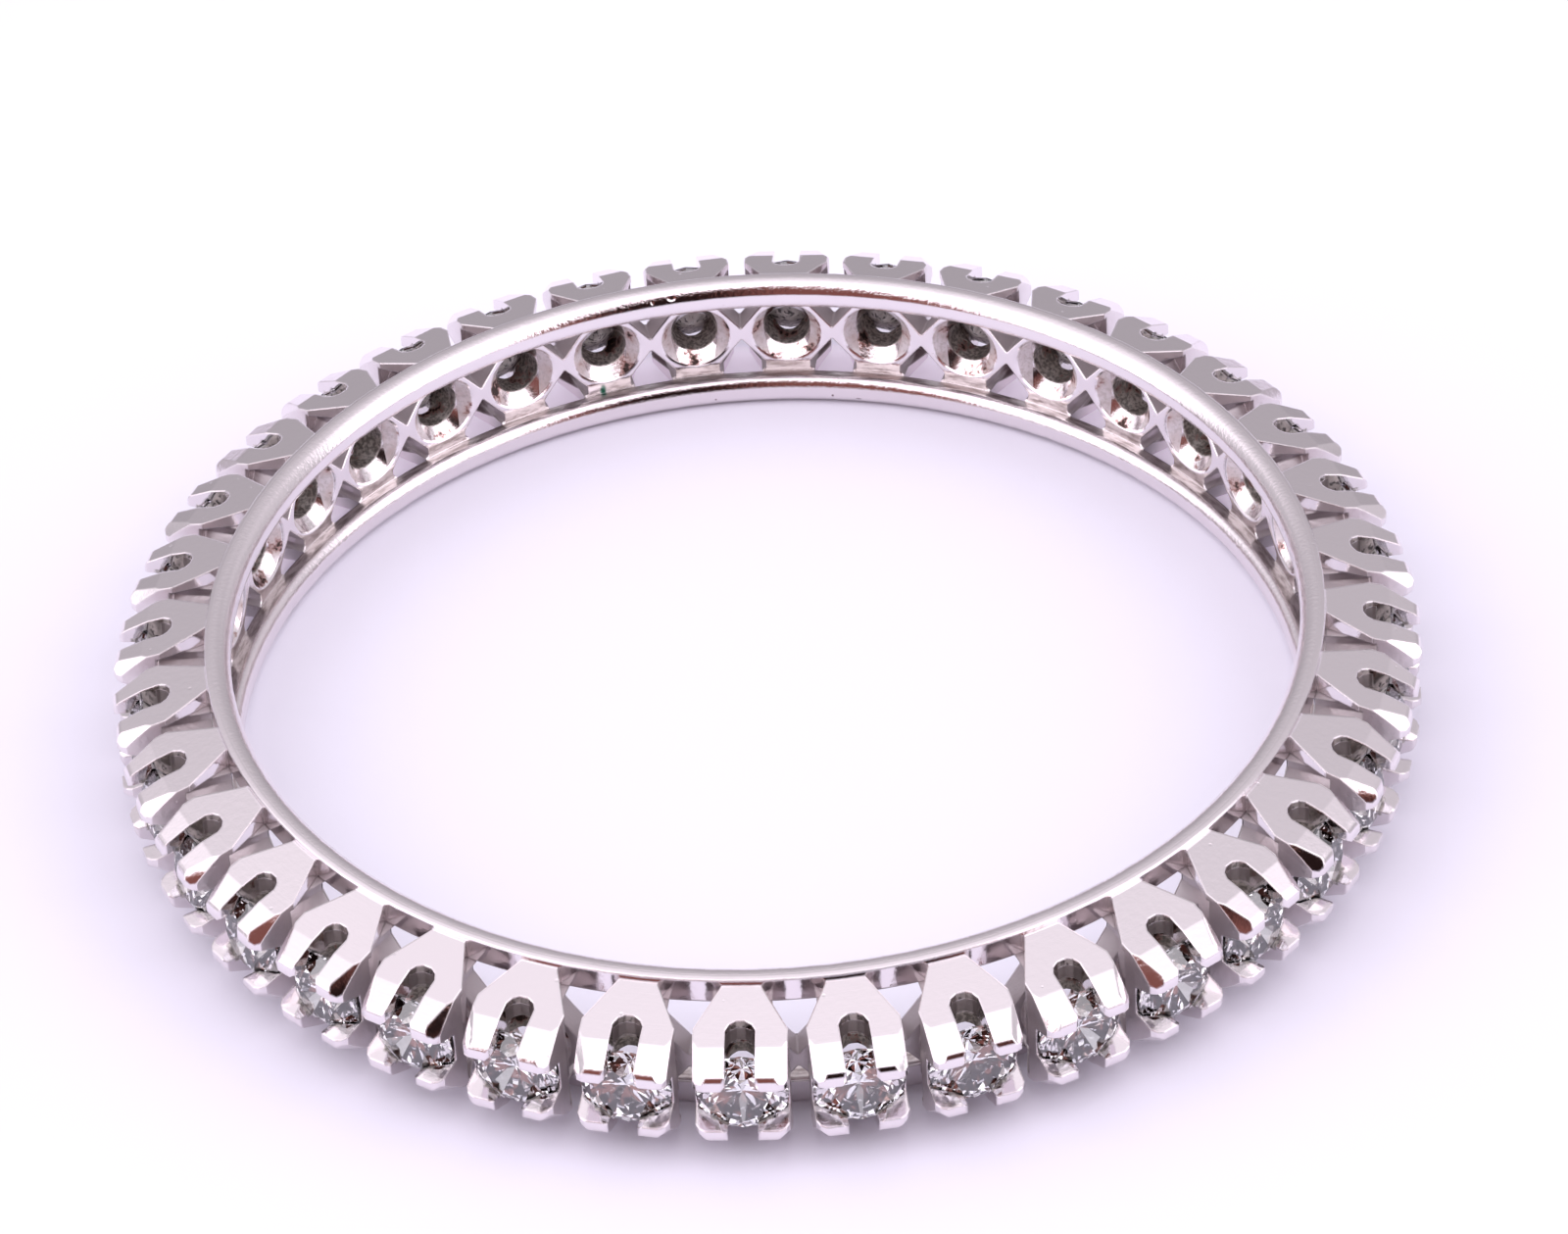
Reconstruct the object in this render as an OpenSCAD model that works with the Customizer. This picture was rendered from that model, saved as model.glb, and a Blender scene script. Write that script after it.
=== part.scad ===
// Full eternity ring: a pierced white metal setting and thirty-six brilliants.
// It lies on its side, so its bore points straight up.
// The origin is on the bore's axis, in the plane that the lower rim rests on.

/* [Band] */
// Inside diameter of the ring
finger_d = 17; // [16.5:0.25:18.5]
// Width of the ring along the finger
band_w = 2.52; // [2.4:0.02:2.8]
// Thickness of the two polished rims, from the finger outwards
rim_t = 0.4; // [0.34:0.02:0.46]
// Height of each rim along the finger
rim_h = 0.46; // [0.42:0.02:0.52]
// Height of the claw tips above the inside of the ring
band_t = 1.91; // [1.8:0.01:2.1]

/* [Stones] */
// Diameter of each stone at its girdle
stone_d = 1.4; // [1.3:0.02:1.44]
// Clear gap between a stone and the metal that holds it
seat_gap = 0.015; // [0.01:0.005:0.03]

/* [Piercing] */
// Diameter of each round hole where it opens on the finger side
azure_mouth_d = 1.19; // [1.05:0.01:1.25]
// Diameter of the same hole behind the stone
azure_throat_d = 0.76; // [0.6:0.01:0.85]
// Depth of the flared part of each hole
azure_depth = 0.22; // [0.16:0.02:0.4]
// Width of the notch between the two claws of a side
notch_w = 0.45; // [0.4:0.01:0.52]
// Height of a claw above the bottom of that notch
notch_depth = 0.92; // [0.7:0.02:0.96]

/* [Hidden] */
$fn = 108;

// The circle of stones
stone_count = 36;
pitch_a = 360 / stone_count;
finger_r = finger_d / 2;
mid_z = band_w / 2;
crown_r = finger_r + band_t;

// Rims: domed from the finger side to a narrow flat, then sloping to the outside.
// The dome leaves the inside wall at an edge, rim_edge_a from that wall's own direction.
// Next to the web each rim has a ledge, which falls to the web at rim_ledge_a.
rim_outer_r = finger_r + rim_t;
rim_dome = 0.27;
rim_edge_a = 18;
rim_flat_r = rim_outer_r - 0.08;
rim_slope_a = 16;
rim_inner_round = 0.16;
rim_ledge_a = 16;
rim_round_steps = 12;
rim_back_round = 0.04;
rim_back_steps = 2;

// Web: the pierced wall between the rims, set back almost to their outside
web_r = rim_outer_r - 0.03;
web_t = 0.45;

// Collets: one block to each stone, with its faces sloping in towards the claws
stone_r = stone_d / 2;
collet_half = stone_r + 0.005;
collet_root_r = rim_outer_r - 0.02;
collet_face_drop = 0.11;
collet_face_slope = 0.28;
foot_half = collet_half - 0.42;
foot_top_r = collet_root_r + 0.74;

// Claws: four to a collet, bent further in near their ends, rounded over tips and corners.
// A cone about the stone's axis, claw_tip_r wide at the tips, takes their outer corners off.
claw_bend_r = crown_r - 0.48;
claw_bend_slope = 0.5;
claw_round = 0.22;
claw_round_steps = 4;
claw_flat = 0.08;
trough_half = 0.26;
trough_drop = 0.03;
claw_corner = 0.2;
claw_corner_steps = 3;
claw_tip_r = 0.78;
claw_tip_slope = 0.6;
notch_lip = 0.09;
notch_lip_steps = 2;
notch_corner = 0.215;
notch_corner_steps = 3;
claw_reach = 0.5;

// Windows: two to each space between stones, each a tent with a wide round-cornered foot
window_apex = 0.12;
window_tip_half = 0.015;
window_half = 0.4;
window_wall_h = 0.6;
window_corner = 0.1;
window_corner_steps = 3;
window_lip = 0.012;
window_past = 0.04;
window_start_r = web_r - 0.015;
window_depth = 0.85;

// Stones: round brilliants, with heights given as shares of their radius
girdle_r = finger_r + 1.46;
girdle_h = 0.04;
table_ratio = 0.56;
crown_ratio = 0.3;
star_ratio = 0.75;
pavilion_ratio = 0.86;
lower_ratio = 0.22;

// How far a cutting shape starts before the metal that it cuts, or ends past it
azure_early = 0.07;
past = 0.4;

// Corners of a many-sided rounding that lies outside the circle it stands for,
// so its first and last sides are parts of the straight sides it joins
function rounding(cx, cy, r, a0, a1, steps) = [
    for (i = [0:steps - 1])
        let (
            step = (a1 - a0) / steps,
            a = a0 + (i + 0.5) * step,
            corner_r = r / cos(step / 2)
        )
        [cx + corner_r * cos(a), cy + corner_r * sin(a)]
];

function mirrored(points) = [
    for (i = [len(points) - 1:-1:0]) [-points[i][0], points[i][1]]
];

function stone_name(i) = str("stone_", i < 10 ? "0" : "", i);

// Lower half of the band's cross-section, X from the bore's axis and Y up
// from the middle plane, listed from the web's outside round to its inside
function band_half_profile() =
    let (
        floor_y = -mid_z,
        rim_top_y = rim_h - mid_z,
        back_r = rim_outer_r - rim_back_round,
        back_rise = rim_back_round + (back_r - rim_flat_r) * sin(rim_slope_a),
        ledge_t = web_r - finger_r - rim_inner_round,
        ledge_centre_y = rim_top_y + ledge_t * tan(rim_ledge_a) - rim_inner_round / cos(rim_ledge_a)
    )
    concat(
        [[web_r + web_t, rim_top_y], [rim_outer_r, rim_top_y]],
        rounding(back_r, floor_y + back_rise / cos(rim_slope_a), rim_back_round,
            0, rim_slope_a - 90, rim_back_steps),
        [[rim_flat_r, floor_y]],
        rounding(finger_r + rim_dome * cos(rim_edge_a), floor_y + rim_dome, rim_dome,
            -90, rim_edge_a - 180, rim_round_steps),
        [[finger_r, floor_y + rim_dome * (1 - sin(rim_edge_a))]],
        rounding(finger_r + rim_inner_round, ledge_centre_y, rim_inner_round,
            180, 90 - rim_ledge_a, rim_round_steps),
        [[web_r, rim_top_y]]
    );

module band() {
    lower = band_half_profile();
    upper = [for (i = [len(lower) - 1:-1:0]) [lower[i][0], -lower[i][1]]];
    translate([0, 0, mid_z]) rotate_extrude() polygon(concat(lower, upper));
}

// Upper half of a collet's cross-section, X outwards and Y from the middle plane
function collet_half_profile() =
    let (
        face_y = mid_z - collet_face_drop,
        bend_y = face_y - (claw_bend_r - collet_root_r) * collet_face_slope,
        bend_a = 90 - atan(claw_bend_slope),
        centre_r = crown_r - claw_round,
        centre_y = bend_y - (claw_round - (claw_bend_r - centre_r) * cos(bend_a)) / sin(bend_a)
    )
    concat(
        [[collet_root_r, face_y], [claw_bend_r, bend_y]],
        rounding(centre_r, centre_y, claw_round, bend_a, 0, claw_round_steps),
        [[crown_r, centre_y - claw_flat], [girdle_r - trough_drop, trough_half]]
    );

module collet_profile() {
    upper = collet_half_profile();
    lower = [for (i = [len(upper) - 1:-1:0]) [upper[i][0], -upper[i][1]]];
    polygon(concat(upper, lower));
}

// Outline of a collet seen along the bore, with Y outwards
module collet_outline() {
    right = concat(
        [[foot_half, collet_root_r - past], [foot_half, collet_root_r], [collet_half, foot_top_r]],
        rounding(collet_half - claw_corner, crown_r - claw_corner, claw_corner,
            0, 90, claw_corner_steps),
        rounding(notch_w / 2 + notch_lip, crown_r - notch_lip, notch_lip,
            90, 180, notch_lip_steps),
        rounding(notch_w / 2 - notch_corner, crown_r - notch_depth + notch_corner, notch_corner,
            0, -90, notch_corner_steps)
    );
    polygon(concat(right, mirrored(right)));
}

// A wide cone about the stone's axis, seen as X outwards from the bore
module claw_cone() {
    start_r = collet_root_r - past;
    length = crown_r + past - start_r;
    translate([start_r, 0, mid_z])
        rotate([0, 90, 0])
            cylinder(
                h = length,
                r1 = claw_tip_r + (crown_r - start_r) * claw_tip_slope,
                r2 = claw_tip_r - past * claw_tip_slope,
                $fn = 72
            );
}

module collet() {
    intersection() {
        claw_cone();
        translate([0, stone_d, mid_z])
            rotate([90, 0, 0]) linear_extrude(2 * stone_d) collet_profile();
        rotate([0, 0, -90]) linear_extrude(band_w) collet_outline();
    }
}

// One window above the middle plane: its apex points at the crossing of the web
module window_outline() {
    base = mid_z - rim_h - window_lip;
    side = [[window_tip_half, window_apex], [window_half, window_wall_h]];
    corner = rounding(window_half - window_corner, base - window_corner, window_corner,
        0, 90, window_corner_steps);
    right = concat(side, corner, [[corner[window_corner_steps - 1][0], base + window_past]]);
    polygon(concat(right, mirrored(right)));
}

// The two windows between one stone and the next
module windows() {
    for (side = [0, 1])
        rotate([0, 0, pitch_a / 2])
            translate([window_start_r, 0, mid_z])
                mirror([0, 0, side])
                    rotate([90, 0, 90]) linear_extrude(window_depth) window_outline();
}

// Hole behind a stone, the stone's seat and the room between the claws.
// X is the distance from the stone's axis and Y that from the bore's axis.
module seat_outline() {
    crown_slope = crown_ratio / (1 - table_ratio);
    flare = (azure_mouth_d - azure_throat_d) / 2 / azure_depth;
    seat_r = stone_r + seat_gap;
    cone_shift = seat_gap / cos(atan(pavilion_ratio));
    throat_r = azure_throat_d / 2;
    seat_bottom = girdle_r + seat_gap * pavilion_ratio - cone_shift;
    seat_top = girdle_r + girdle_h + seat_gap;
    polygon([
        [0, web_r - azure_early],
        [azure_mouth_d / 2 + azure_early * flare, web_r - azure_early],
        [throat_r, web_r + azure_depth],
        [throat_r, seat_bottom - (seat_r - throat_r) * pavilion_ratio],
        [seat_r, seat_bottom],
        [seat_r, seat_top],
        [claw_reach, seat_top + (seat_r - claw_reach) * crown_slope],
        [claw_reach, crown_r + past],
        [0, crown_r + past]
    ]);
}

module seat() {
    translate([0, 0, mid_z])
        rotate([0, 90, 0]) rotate_extrude($fn = 72) seat_outline();
}

// The same thing at every stone, turned about the bore's axis
module at_each_stone() {
    for (i = [0:stone_count - 1])
        rotate([0, 0, i * pitch_a]) children();
}

module setting() {
    color("gainsboro")
    difference() {
        union() {
            band();
            at_each_stone() collet();
        }
        at_each_stone() windows();
        at_each_stone() seat();
    }
}

// Eight points about a stone's axis, half a step round when turned is one
function ring_of_eight(r, h, turned) = [
    for (i = [0:7])
        let (a = 45 * (i + turned / 2))
        [r * cos(a), r * sin(a), h]
];

// A round brilliant with its table up: table, stars, kites, girdle and pavilion
module brilliant() {
    table_edge = table_ratio * stone_r;
    table_h = girdle_h + crown_ratio * stone_r;
    star_edge = star_ratio * stone_r;
    kite_drop = (star_edge * cos(22.5) - table_edge) * crown_ratio / (1 - table_ratio);
    lower_edge = lower_ratio * stone_r;
    culet_h = -pavilion_ratio * stone_r;
    points = concat(
        ring_of_eight(table_edge, table_h, 0),
        ring_of_eight(star_edge, table_h - kite_drop, 1),
        ring_of_eight(stone_r, girdle_h, 0),
        ring_of_eight(stone_r, girdle_h, 1),
        ring_of_eight(stone_r, 0, 0),
        ring_of_eight(stone_r, 0, 1),
        ring_of_eight(lower_edge, culet_h + lower_edge * cos(22.5) * pavilion_ratio, 1),
        [[0, 0, culet_h]]
    );
    table = [[for (i = [7:-1:0]) i]];
    facets = [
        for (i = [0:7])
            let (n = (i + 1) % 8)
            each [
                [i, n, i + 8],
                [n, n + 16, i + 8],
                [n, n + 8, n + 16],
                [i + 8, i + 24, i + 16],
                [i + 8, n + 16, i + 24],
                [i + 16, i + 24, i + 40, i + 32],
                [i + 24, n + 16, n + 32, i + 40],
                [i + 32, i + 40, i + 48],
                [i + 40, n + 32, i + 48],
                [i + 48, n + 32, 56],
                [n + 32, n + 48, 56]
            ]
    ];
    polyhedron(points, concat(table, facets));
}

module stone(i) {
    color("lightsteelblue")
    rotate([0, 0, (i - 1) * pitch_a])
        translate([girdle_r, 0, mid_z])
            rotate([0, 90, 0]) brilliant();
}

setting();
for (i = [1:stone_count])
    stone(i);
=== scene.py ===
"""Looks of a full eternity ring that lies on its side on a pale floor in soft studio light."""

import math

import bpy
from mathutils import Matrix, Vector

MM = 0.001
STONES = 36
PITCH = 2 * math.pi / STONES
BAND_WIDTH = 2.52

# Radii in millimetres from the bore's axis: the rims' wall towards the finger and the web
# behind the stones. A collet is twice COLLET_HALF wide. Its foot narrows towards the web: half
# its width there is FOOT_TAPER times the radius, less FOOT_START.
FINGER_RADIUS = 8.50
WEB_RADIUS = 8.87
COLLET_HALF = 0.705
FOOT_TAPER = 0.5676
FOOT_START = 4.755

# Marks on the rims, in the camera set-up: the angle clockwise from the far side, the radius, the
# height over the middle plane, and the half-lengths round the bore, outwards and along its axis
SMEAR = (-18.4, 8.74, -0.765, (0.34, 0.11, 0.07))
GREEN_STAIN = (-16.6, 8.84, -0.73, (0.07, 0.10, 0.16))
SCORES = [
    (9.25, FINGER_RADIUS, -1.047, (0.03, 0.05, 0.03)),
    (12.25, FINGER_RADIUS, -1.093, (0.07, 0.05, 0.02)),
    (-4.25, FINGER_RADIUS, -1.058, (0.025, 0.05, 0.02)),
]
# Dents, each with its depth in steps of the relief
DENTS = [
    ((-20.6, 8.70, -0.765, (0.17, 0.10, 0.06)), 4.0),
    ((-8.5, 8.55, 1.14, (0.09, 0.06, 0.05)), 1.8),
    ((-10.75, 8.545, 1.12, (0.04, 0.05, 0.05)), 1.2),
]
RELIEF_STEP = 0.012
EDGE_WEAR = 0.045

# Colours of the metal and of what lies on it, with painted shade and painted reflection among them
CLEAN_METAL = (0.84, 0.79, 0.80, 1.0)
FOOT_FILM = (0.62, 0.50, 0.46, 1.0)
# Painted shade on the windows' sides: the clean metal's colour, darker by a third
WINDOW_WALL_SHADE = (0.56, 0.51, 0.52, 1.0)
LEDGE_METAL = (0.74, 0.69, 0.67, 1.0)
LEDGE_STREAK = (0.38, 0.33, 0.31, 1.0)
HOLE_FILM = (0.55, 0.50, 0.47, 1.0)
THROAT_DARK = (0.34, 0.32, 0.295, 1.0)
THROAT_PALE = (0.78, 0.74, 0.70, 1.0)
# Dark and red patches in the holes: part tarnish and dirt, part painted reflection of the camera
RED_TARNISH_AND_REFLECTION = (0.40, 0.20, 0.17, 1.0)
BLACK_DIRT_AND_REFLECTION = (0.06, 0.04, 0.035, 1.0)
GREEN = (0.07, 0.22, 0.16, 1.0)
SCORED_METAL = (0.22, 0.17, 0.18, 1.0)

# The stones and the film behind them
CLEAR_STONE = (0.97, 0.985, 0.98, 1.0)
FILM_DARK = (0.34, 0.325, 0.30, 1.0)
FILM_PALE = (0.66, 0.63, 0.59, 1.0)
FILM_SPECK = (0.03, 0.028, 0.025, 1.0)
DIAMOND_IOR = 2.417

FLOOR_RADIUS = 0.6
FLOOR_NEAR = (0.84, 0.835, 0.92, 1.0)
# Painted shade: the floor's colour far off, greyer where the tent gives it less light
FLOOR_FAR = (0.42, 0.40, 0.43, 1.0)
# Painted light: the colour of a glow in the floor under the ring's far half
FLOOR_PAINTED_GLOW = (1.0, 0.80, 1.0, 1.0)

# The tent's light by its place on the arc from the far horizon (0), overhead (0.5), to the
# horizon on the camera's side (1)
TENT_TINT = (1.0, 0.935, 1.02)
TENT_TOP = 2.0
TENT_LEVELS = [
    (0.0, 0.43), (0.06, 0.46), (0.13, 0.53), (0.17, 0.57), (0.21, 0.62), (0.25, 0.70),
    (0.30, 0.85), (0.36, 1.0), (0.40, 1.06), (0.47, 1.25), (0.54, 1.8), (0.75, 1.9), (0.85, 1.4),
    (1.0, 1.1),
]
# By how much the same arc is darker on the far right, and brighter on the far left
TENT_LEAN = [(0.17, 0.0), (0.27, 0.28), (0.33, 0.4), (0.38, 0.1), (0.42, 0.0)]
# Height of the camera's dark shape, as a share of a right angle, from the left to the right
SHAPE_OUTLINE = [
    (0.06, 0.0), (0.12, 0.12), (0.20, 0.36), (0.34, 0.46), (0.50, 0.54), (0.66, 0.50),
    (0.80, 0.38), (0.88, 0.0),
]
SHAPE_EDGE = (0.20, 0.085, 0.07, 1.0)
SHAPE_BROWN = (0.12, 0.045, 0.04, 1.0)
SHAPE_BLACK = (0.010, 0.005, 0.005, 1.0)
BACKDROP = (1.0, 0.98, 1.0, 1.0)

# The camera, fitted to the photograph: millimetres and degrees, with the far side along +Y
# before the whole set-up is turned by STONE_PHASE about the bore's axis.
STONE_PHASE = 4.147
TARGET = (0.3126, 1.118, 1.3)
DISTANCE = 107.3
ELEVATION = 38.986
ROLL = -3.387
IMAGE_WIDTH = 1600
FOCAL_PX = 63.3 * DISTANCE
SENSOR = 36.0


# Node trees

class Tree:
    """Adds nodes to a node tree and links them in one call."""

    def __init__(self, tree):
        self.tree = tree
        tree.nodes.clear()

    def add(self, kind, inputs=None, **settings):
        node = self.tree.nodes.new(kind)
        for name, value in settings.items():
            setattr(node, name, value)
        for name, value in (inputs or {}).items():
            self.set(node, name, value)
        return node

    def set(self, node, name, value):
        socket = node.inputs[name]
        if isinstance(value, bpy.types.NodeSocket):
            self.tree.links.new(value, socket)
        else:
            socket.default_value = value

    def math(self, operation, *values, clamp=False):
        node = self.add("ShaderNodeMath", operation=operation, use_clamp=clamp)
        for i, value in enumerate(values):
            self.set(node, i, value)
        return node.outputs[0]

    def product(self, first, *others):
        for other in others:
            first = self.math("MULTIPLY", first, other)
        return first

    def greatest(self, first, *others):
        for other in others:
            first = self.math("MAXIMUM", first, other)
        return first

    def vector_math(self, operation, *values, scale=None):
        node = self.add("ShaderNodeVectorMath", operation=operation)
        for i, value in enumerate(values):
            self.set(node, i, value)
        if scale is not None:
            self.set(node, "Scale", scale)
        return node.outputs["Value" if operation in ("DOT_PRODUCT", "LENGTH") else "Vector"]

    def ramp(self, value, stops):
        """A colour ramp with stops of (position, brightness or colour)."""
        node = self.add("ShaderNodeValToRGB", {"Fac": value})
        elements = node.color_ramp.elements
        while len(elements) < len(stops):
            elements.new(0.5)
        for element, (position, colour) in zip(elements, stops):
            if isinstance(colour, (int, float)):
                colour = (colour, colour, colour)
            element.position = position
            element.color = (*colour, 1.0)
        return node.outputs["Color"]

    def smooth(self, value, low, high):
        """0 below low, 1 above high and a smooth step between; low may be above high."""
        node = self.add("ShaderNodeMapRange", interpolation_type="SMOOTHSTEP")
        self.set(node, "Value", value)
        self.set(node, "From Min", low)
        self.set(node, "From Max", high)
        return node.outputs["Result"]

    def band(self, value, low, full, fade, high):
        """1 from full to fade, with smooth steps down to 0 at low and at high."""
        return self.product(self.smooth(value, low, full), self.smooth(value, high, fade))

    def mix(self, factor, a, b):
        node = self.add("ShaderNodeMix", data_type="RGBA")
        self.set(node, 0, factor)
        self.set(node, 6, a)
        self.set(node, 7, b)
        return node.outputs[2]

    def noise(self, vector, scale, detail=2.0, roughness=0.5):
        node = self.add("ShaderNodeTexNoise", {
            "Vector": vector, "Scale": scale, "Detail": detail, "Roughness": roughness,
        })
        return node.outputs[0]

    def vector(self, x, y, z):
        return self.add("ShaderNodeCombineXYZ", {0: x, 1: y, 2: z}).outputs[0]

    def parts(self, vector):
        return self.add("ShaderNodeSeparateXYZ", {0: vector}).outputs


def new_material(name):
    material = bpy.data.materials.new(name)
    material.use_nodes = True
    tree = Tree(material.node_tree)
    shader = tree.add("ShaderNodeBsdfPrincipled")
    tree.add("ShaderNodeOutputMaterial", {"Surface": shader.outputs[0]})
    return material, tree, shader


def distance(tree, a, b):
    """The length of a right-angled triangle's long side."""
    return tree.math("SQRT", tree.math("ADD", tree.math("POWER", a, 2.0), tree.math("POWER", b, 2.0)))


def ring_coordinates(tree):
    """Where a point lies on the ring, in millimetres: a dictionary of sockets.

    radius: from the bore's axis; height: from the middle plane, unsigned; along: way round the
    band; across: from the nearest stone's plane, unsigned; axis: from that stone's own axis;
    place: the point itself; tangent: the direction round the bore."""
    place = tree.add("ShaderNodeTexCoord").outputs["Object"]
    x, y, z = (tree.math("DIVIDE", part, MM) for part in tree.parts(place))
    radius = distance(tree, x, y)
    signed_height = tree.math("SUBTRACT", z, BAND_WIDTH / 2)
    height = tree.math("ABSOLUTE", signed_height)
    angle = tree.math("ARCTAN2", y, x)
    turns = tree.math("DIVIDE", angle, PITCH)
    from_stone = tree.math("SUBTRACT", turns, tree.math("ROUND", turns))
    across = tree.product(tree.math("ABSOLUTE", tree.product(from_stone, PITCH)), radius)
    return {
        "radius": radius,
        "height": height,
        "signed_height": signed_height,
        "along": tree.product(angle, WEB_RADIUS),
        "across": across,
        "axis": distance(tree, across, height),
        "place": tree.vector(x, y, z),
        "tangent": tree.vector(tree.math("DIVIDE", tree.product(y, -1.0), radius),
                               tree.math("DIVIDE", x, radius), 0.0),
    }


def mark(tree, at, spot):
    """1 at the middle of a spot on the ring and 0 from the edge of its oval."""
    angle, radius, height, sizes = spot
    along = math.radians(90 - angle + STONE_PHASE) * WEB_RADIUS
    sockets = (at["along"], at["radius"], at["signed_height"])
    total = 0.0
    for socket, centre, size in zip(sockets, (along, radius, height), sizes):
        step = tree.math("DIVIDE", tree.math("SUBTRACT", socket, centre), size)
        total = tree.math("MULTIPLY_ADD", step, step, total)
    return tree.smooth(total, 1.0, 0.0)


# Metal

def metal_zones(tree, at):
    """Where the polish didn't reach, as masks with limits in millimetres.

    hole: the flared holes behind the stones; throat: their narrow ends and the seats past them;
    ledge: the rims' sides towards the web; gap: between the collets; wall: the windows' sides, which
    also get painted shade; raw: all of them, by how rough they are."""
    radius, height, axis = at["radius"], at["height"], at["axis"]
    hole = tree.product(tree.band(radius, 8.88, 8.90, 9.75, 9.80), tree.smooth(axis, 0.61, 0.60))
    throat = tree.product(hole, tree.smooth(axis, 0.40, 0.385))
    seat = tree.product(tree.band(radius, 9.45, 9.50, 10.2, 10.25), tree.smooth(axis, 0.58, 0.55))
    ledge = tree.product(tree.band(height, 0.72, 0.74, 0.815, 0.83),
                         tree.band(radius, 8.60, 8.70, 8.864, 8.868))
    foot_half = tree.math("MULTIPLY_ADD", radius, FOOT_TAPER, -FOOT_START)
    past_side = tree.math("SUBTRACT", at["across"], tree.math("MINIMUM", foot_half, COLLET_HALF))
    gap = tree.product(tree.smooth(past_side, -0.006, 0.0), tree.smooth(radius, 8.905, 8.91))
    wall = tree.product(tree.band(radius, 8.88, 8.90, 9.70, 9.72),
                        tree.smooth(height, 0.845, 0.835), tree.smooth(axis, 0.61, 0.62))
    return {
        "hole": hole, "throat": tree.greatest(throat, seat), "ledge": ledge, "gap": gap,
        "wall": wall, "raw": tree.greatest(tree.product(hole, 0.3), ledge, gap, wall),
    }


def metal_relief(tree, at, raw, fine, smear):
    """Height of the relief: hairlines, pits, the casting's grain, dents and the smear."""
    # Hairlines run round the band: the noise is drawn out along it
    round_lines = tree.vector(tree.product(at["along"], 0.45), tree.product(at["radius"], 22.0),
                              tree.product(at["signed_height"], 22.0))
    hair = tree.noise(round_lines, 1.0, 4.0, 0.65)
    grain = tree.noise(at["place"], 9.0, 3.0, 0.6)
    # Pits lie in some of the cells, and their size differs from cell to cell
    cells = tree.add("ShaderNodeTexVoronoi", {"Vector": at["place"], "Scale": 4.0}, feature="F1")
    chosen = tree.add("ShaderNodeSeparateColor", {0: cells.outputs["Color"]}).outputs[0]
    pit_size = tree.product(tree.smooth(chosen, 0.62, 1.0), 0.14)
    unpitted = tree.smooth(tree.math("SUBTRACT", cells.outputs["Distance"], pit_size), -0.05, 0.0)
    finger_side = tree.smooth(at["radius"], 8.80, 8.77)
    relief = tree.product(hair, 0.16)
    layers = [(unpitted, 0.5), (grain, tree.math("ADD", raw, 0.35)),
              (fine, tree.product(finger_side, 0.8)), (smear, 2.0)]
    layers += [(mark(tree, at, spot), -depth) for spot, depth in DENTS]
    for layer, amount in layers:
        relief = tree.math("MULTIPLY_ADD", layer, amount, relief)
    return relief


def metal_normal(tree, at):
    """The surface's direction, with worn edges and without the mesh's steps round the bore."""
    radius, tangent = at["radius"], at["tangent"]
    worn = tree.add("ShaderNodeBevel", {"Radius": EDGE_WEAR * MM}, samples=4).outputs[0]
    # The rims and the web are turned, so nothing of their direction points round the bore
    lathe = tree.smooth(radius, 8.902, 8.901)
    spill = tree.vector_math("SCALE", tangent, scale=tree.vector_math("DOT_PRODUCT", tangent, worn))
    true = tree.vector_math("SUBTRACT", worn, tree.vector_math("SCALE", spill, scale=lathe))
    # Wear has left the rims' edge towards the finger rounder than it was turned: the stops say
    # how steeply the surface looks up or down, before and after
    tip = tree.parts(true)[2]
    steep = tree.math("ABSOLUTE", tip)
    worn_steep = tree.ramp(steep, [(0.0, 0.0), (0.14, 0.334), (0.79, 0.692), (0.92, 0.90), (1.0, 1.0)])
    edge = tree.product(lathe, tree.smooth(radius, 8.762, 8.757))
    steep = tree.math("MULTIPLY_ADD", edge, tree.math("SUBTRACT", worn_steep, steep), steep)
    level = tree.vector_math("NORMALIZE", tree.vector_math("MULTIPLY", true, (1.0, 1.0, 0.0)))
    reach = tree.math("SQRT", tree.math("SUBTRACT", 1.0, tree.product(steep, steep), clamp=True))
    rise = tree.vector(0.0, 0.0, tree.product(tree.math("SIGN", tip), steep))
    return tree.vector_math(
        "NORMALIZE", tree.vector_math("ADD", tree.vector_math("SCALE", level, scale=reach), rise))


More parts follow.
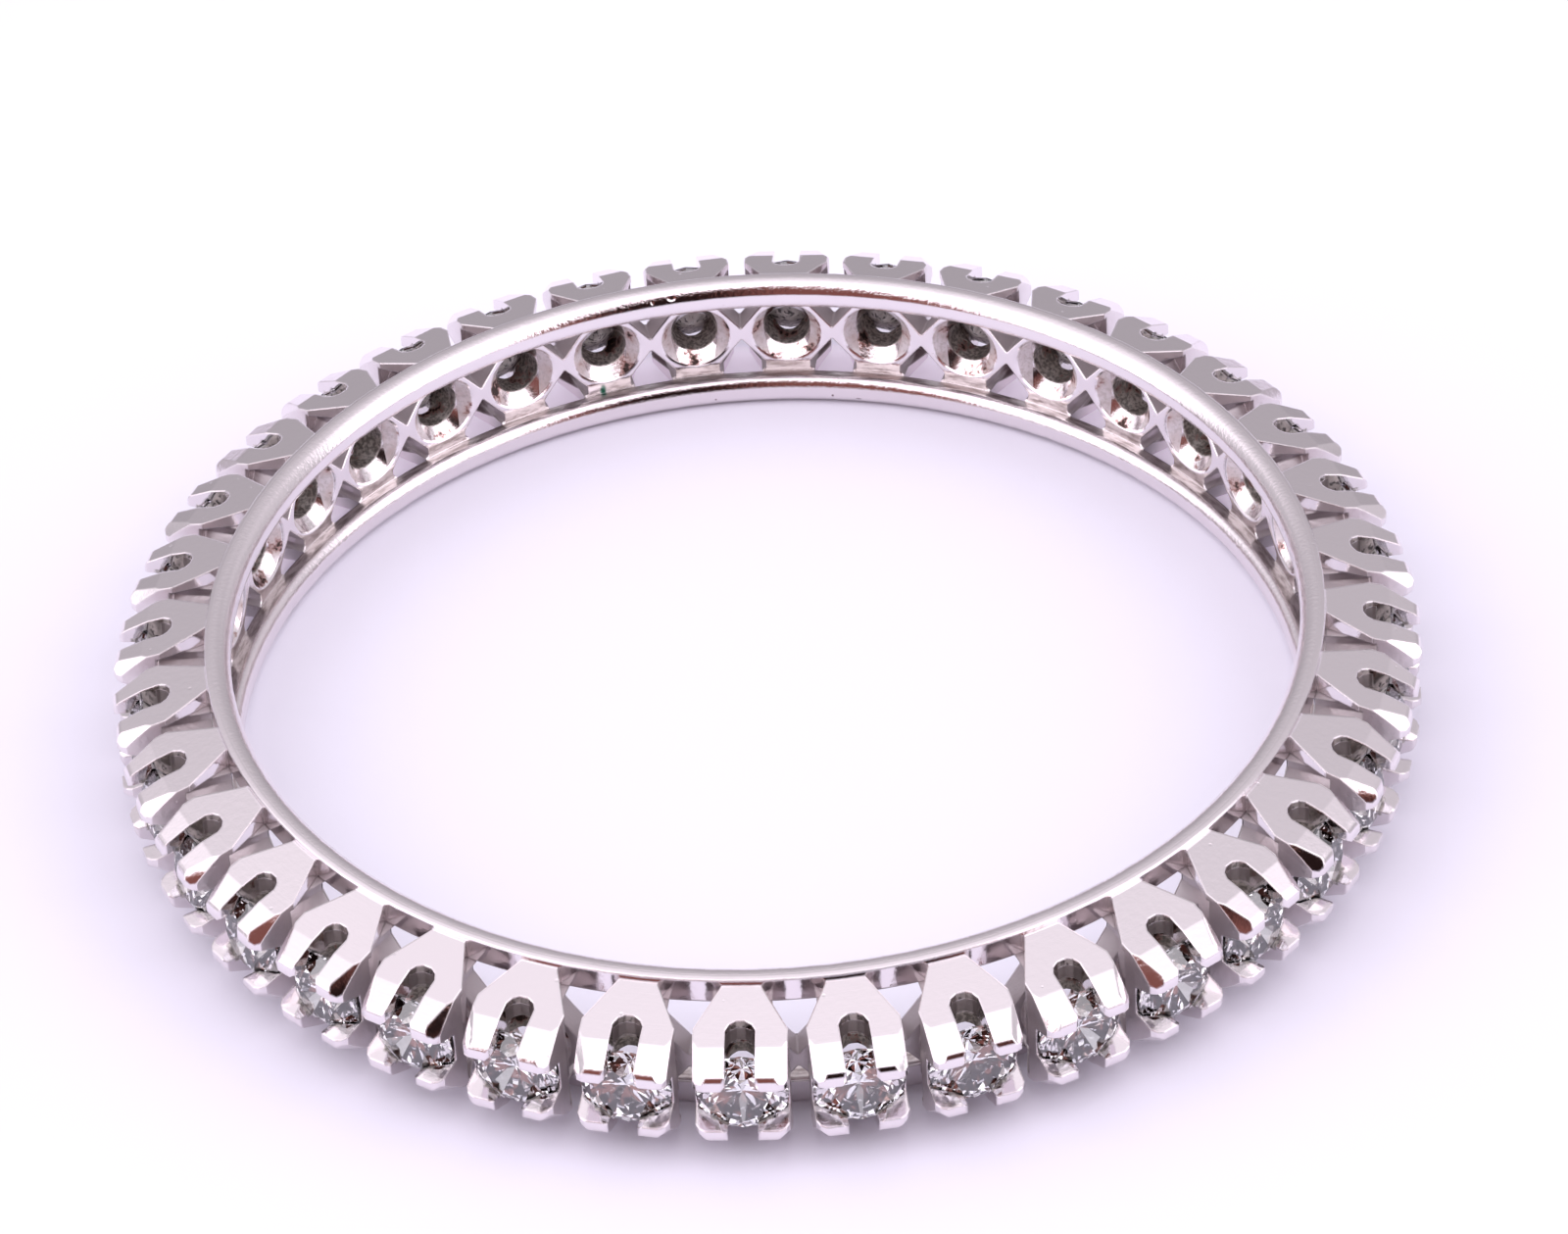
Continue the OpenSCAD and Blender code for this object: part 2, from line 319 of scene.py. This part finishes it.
def metal_material():
    """Polished white metal with hairline scratches, small nicks and tarnish in its openings.

    Part of the tarnish in the holes is painted reflection, and the windows' sides get painted shade.
    """
    material, tree, shader = new_material("white_metal")
    at = ring_coordinates(tree)
    place = at["place"]
    zones = metal_zones(tree, at)
    hole, throat, ledge = zones["hole"], zones["throat"], zones["ledge"]

    # Patches of dark grains with a reddish edge lie in the holes: partly dirt, partly painted
    # reflection of the camera's dark shape. Dirt also lies as a film in the gaps' feet.
    along_rim = tree.vector(tree.product(at["along"], 0.3), at["radius"], at["height"])
    streaks = tree.smooth(tree.noise(along_rim, 9.0, 4.0, 0.65), 0.42, 0.66)
    patches = tree.noise(place, 2.3, 2.0, 0.5)
    fine = tree.noise(place, 16.0, 3.0, 0.6)
    dirt_and_reflection_noise = tree.math("MULTIPLY_ADD", fine, 0.35, patches)
    film = tree.product(hole, tree.smooth(fine, 0.45, 0.65), 0.5)
    dark = tree.product(hole, tree.smooth(dirt_and_reflection_noise, 0.80, 0.86))
    red = tree.product(hole, tree.smooth(dirt_and_reflection_noise, 0.74, 0.82), 0.8)
    grime = tree.mix(tree.smooth(fine, 0.38, 0.62), THROAT_DARK, THROAT_PALE)
    foot = tree.product(zones["gap"], tree.smooth(at["radius"], 9.9, 9.1))
    foot_film = tree.product(foot, tree.smooth(patches, 0.38, 0.62), 0.7)
    smear = mark(tree, at, SMEAR)
    scored = tree.greatest(*(mark(tree, at, spot) for spot in SCORES))
    # Painted shade: the windows' sides are coloured as a darker copy of the clean metal
    colour = CLEAN_METAL
    for amount, layer in (
            (foot_film, FOOT_FILM), (zones["wall"], WINDOW_WALL_SHADE), (ledge, LEDGE_METAL),
            (tree.product(ledge, streaks), LEDGE_STREAK), (film, HOLE_FILM), (throat, grime),
            (red, RED_TARNISH_AND_REFLECTION), (dark, BLACK_DIRT_AND_REFLECTION), (smear, CLEAN_METAL),
            (mark(tree, at, GREEN_STAIN), GREEN), (scored, SCORED_METAL)):
        colour = tree.mix(amount, colour, layer)
    tree.set(shader, "Base Color", colour)
    tree.set(shader, "Metallic", tree.math("MULTIPLY_ADD", foot, -0.7, 1.0))

    # Handling has dulled the polish in places, and it is rough where it didn't reach
    handled = tree.smooth(tree.noise(place, 1.3, 3.0, 0.55), 0.42, 0.72)
    rough = tree.math("MULTIPLY_ADD", handled, 0.05, 0.06)
    rough = tree.math("MULTIPLY_ADD", zones["raw"], 0.30, rough)
    rough = tree.math("MULTIPLY_ADD", tree.greatest(dark, throat), 0.3, rough)
    tree.set(shader, "Roughness", rough)

    bump = tree.add("ShaderNodeBump", {
        "Strength": 0.5, "Distance": RELIEF_STEP * MM, "Normal": metal_normal(tree, at),
        "Height": metal_relief(tree, at, zones["raw"], fine, smear),
    })
    tree.set(shader, "Normal", bump.outputs[0])
    return material


def stone_material():
    """Colourless brilliant-cut stone, with a film of speckled grime behind it."""
    material, tree, shader = new_material("brilliant")
    at = ring_coordinates(tree)
    # The film lies on the outside of the pavilion, which ends just under the girdle
    outside = tree.math("SUBTRACT", 1.0, tree.add("ShaderNodeNewGeometry").outputs["Backfacing"])
    film = tree.product(outside, tree.smooth(at["radius"], 9.95, 9.92))
    cloud = tree.noise(at["place"], 5.0, 4.0, 0.6)
    speck = tree.smooth(tree.noise(at["place"], 11.0, 3.0, 0.6), 0.54, 0.60)
    grime = tree.mix(tree.smooth(cloud, 0.35, 0.65), FILM_DARK, FILM_PALE)
    grime = tree.mix(speck, grime, FILM_SPECK)
    tree.set(shader, "Base Color", tree.mix(film, CLEAR_STONE, grime))
    tree.set(shader, "Transmission Weight", tree.math("MULTIPLY_ADD", film, -0.9, 1.0))
    tree.set(shader, "Roughness", tree.product(film, 0.9))
    shader.inputs["IOR"].default_value = DIAMOND_IOR
    return material


def floor_material():
    """Matt white around the ring, greyer far off, where a tent's floor gets less light.

    A painted glow keeps the floor pale in the narrow gap under the ring's far half."""
    material, tree, shader = new_material("pale_floor")
    place = tree.add("ShaderNodeTexCoord").outputs["Object"]
    away = tree.vector_math("LENGTH", place)
    # Painted shade: the floor turns greyer from 22 to 60 millimetres away
    far = tree.smooth(away, 22 * MM, 60 * MM)
    tree.set(shader, "Base Color", tree.mix(far, FLOOR_NEAR, FLOOR_FAR))
    # Painted light: the floor glows under the ring's far half, though no lamp is there
    beyond = tree.vector_math("DOT_PRODUCT", place, turned((0, 1, 0)))
    under = tree.product(tree.band(away, 9.0 * MM, 9.5 * MM, 10.0 * MM, 10.4 * MM),
                         tree.smooth(beyond, -4 * MM, 5 * MM))
    shader.inputs["Emission Color"].default_value = FLOOR_PAINTED_GLOW
    tree.set(shader, "Emission Strength", tree.product(under, 0.27))
    shader.inputs["Roughness"].default_value = 0.9
    shader.inputs["Specular IOR Level"].default_value = 0.2
    return material


def dress_ring(nodes):
    metal = metal_material()
    brilliant = stone_material()
    for name, node in nodes.items():
        node.data.materials.clear()
        node.data.materials.append(metal if name == "setting" else brilliant)


# Studio

def turned(vector):
    """A direction or place of the fitted set-up, turned into the ring's frame."""
    return Matrix.Rotation(math.radians(STONE_PHASE), 3, "Z") @ Vector(vector)


def make_camera():
    data = bpy.data.cameras.new("camera")
    data.sensor_width = SENSOR
    data.lens = FOCAL_PX / IMAGE_WIDTH * SENSOR
    data.clip_start = 0.01
    data.clip_end = 10.0
    camera = bpy.data.objects.new("camera", data)
    bpy.context.scene.collection.objects.link(camera)
    elevation = math.radians(ELEVATION)
    back = turned((0, -math.cos(elevation), math.sin(elevation)))
    upright = back.to_track_quat("Z", "Y").to_matrix()
    camera.matrix_world = Matrix.Translation((turned(TARGET) + back * DISTANCE) * MM) @ (
        upright @ Matrix.Rotation(math.radians(ROLL), 3, "Z")
    ).to_4x4()
    bpy.context.scene.camera = camera


def make_floor():
    bpy.ops.mesh.primitive_circle_add(
        vertices=96, radius=FLOOR_RADIUS, fill_type="NGON", location=(0, 0, 0))
    floor = bpy.context.object
    floor.name = "floor"
    floor.data.materials.append(floor_material())


def add_camera_shape(tree, tent, arc, along, across):
    """The dark shape of the camera, black a little to one side of its middle."""
    side = tree.math("MULTIPLY_ADD", across, 0.5, 0.5)
    outline = tree.ramp(side, SHAPE_OUTLINE)
    low = tree.product(tree.math("SUBTRACT", 1.0, arc), 2.0)
    shape = tree.product(tree.smooth(tree.math("SUBTRACT", outline, low), -0.04, 0.06),
                         tree.smooth(along, 0.0, -0.2))
    edge = tree.mix(tree.smooth(shape, 0.0, 0.5), tent, SHAPE_EDGE)
    middle = tree.mix(tree.band(side, 0.44, 0.56, 0.70, 0.80), SHAPE_BROWN, SHAPE_BLACK)
    return tree.mix(tree.smooth(shape, 0.4, 1.0), edge, middle)


def make_world():
    """A white tent: bright overhead and on the camera's side, greyer towards the far horizon,
    with the dark shape of the camera low on its own side."""
    world = bpy.data.worlds.new("tent")
    bpy.context.scene.world = world
    world.use_nodes = True
    tree = Tree(world.node_tree)
    way = tree.add("ShaderNodeTexCoord").outputs["Generated"]
    along = tree.vector_math("DOT_PRODUCT", way, turned((0, 1, 0)))
    across = tree.vector_math("DOT_PRODUCT", way, turned((1, 0, 0)))
    up = tree.math("MAXIMUM", tree.parts(way)[2], 0.0)
    arc = tree.math("DIVIDE", tree.math("ARCTAN2", up, along), math.pi)
    tent = tree.ramp(arc, [
        (position, tuple(level / TENT_TOP * part for part in TENT_TINT))
        for position, level in TENT_LEVELS
    ])
    tent = add_camera_shape(tree, tent, arc, along, across)
    lean = tree.math("SUBTRACT", 1.0, tree.product(across, tree.ramp(arc, TENT_LEAN)))
    # The tent's sides are up to three tenths brighter than what the arc gives
    sideways = tree.smooth(tree.math("ABSOLUTE", across), 0.3, 0.8)
    strength = tree.product(tree.math("MULTIPLY_ADD", sideways, 0.3 * TENT_TOP, TENT_TOP), lean)
    light = tree.add("ShaderNodeBackground", {"Color": tent, "Strength": strength})
    plain = tree.add("ShaderNodeBackground", {"Color": BACKDROP, "Strength": 1.0})
    seen = tree.add("ShaderNodeLightPath").outputs["Is Camera Ray"]
    mixed = tree.add("ShaderNodeMixShader", {0: seen, 1: light.outputs[0], 2: plain.outputs[0]})
    tree.add("ShaderNodeOutputWorld", {"Surface": mixed.outputs[0]})


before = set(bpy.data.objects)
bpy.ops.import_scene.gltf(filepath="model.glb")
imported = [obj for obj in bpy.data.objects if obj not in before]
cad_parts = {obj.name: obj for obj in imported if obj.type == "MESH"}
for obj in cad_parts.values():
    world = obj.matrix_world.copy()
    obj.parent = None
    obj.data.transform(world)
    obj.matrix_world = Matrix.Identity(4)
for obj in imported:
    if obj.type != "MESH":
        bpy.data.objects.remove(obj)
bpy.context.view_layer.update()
dress_ring(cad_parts)
make_floor()
make_world()
make_camera()
bpy.context.scene.view_settings.view_transform = "Standard"
bpy.context.scene.cycles.max_bounces = 8
bpy.context.scene.cycles.diffuse_bounces = 2
bpy.context.scene.cycles.transmission_bounces = 8
